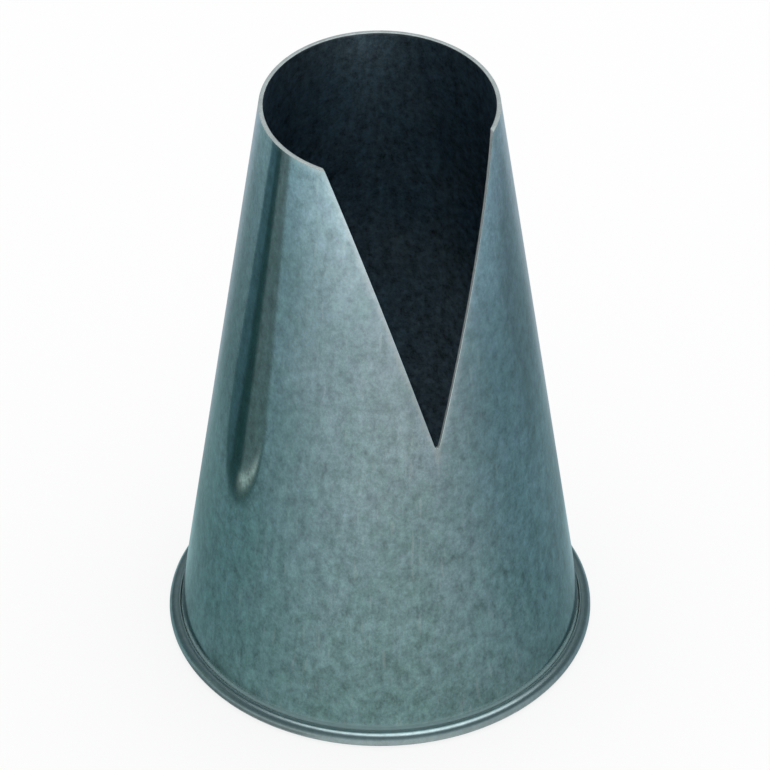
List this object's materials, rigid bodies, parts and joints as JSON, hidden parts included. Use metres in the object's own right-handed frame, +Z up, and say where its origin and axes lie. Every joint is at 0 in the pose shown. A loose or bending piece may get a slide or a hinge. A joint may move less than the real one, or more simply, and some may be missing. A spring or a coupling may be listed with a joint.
{
  "type": "piping nozzle",
  "caption": "Cone-shaped steel piping nozzle with a rolled base rim, a round tip and a deep V notch for piping Saint-Honore cream ridges.",
  "frame": {"origin": "middle of the rolled rim's flat underside, on the nozzle's own axis", "axes": "+Z up the nozzle's axis to its tip, -Y towards the V notch"},
  "size_m": [0.035, 0.035, 0.053],
  "materials": {
    "satin_steel": "satin, fine dull mottling, a little brighter on the rolled rim and the cut edges"
  },
  "bodies": {
    "root": {"nozzle_shell": "satin_steel"}
  },
  "joints": []
}
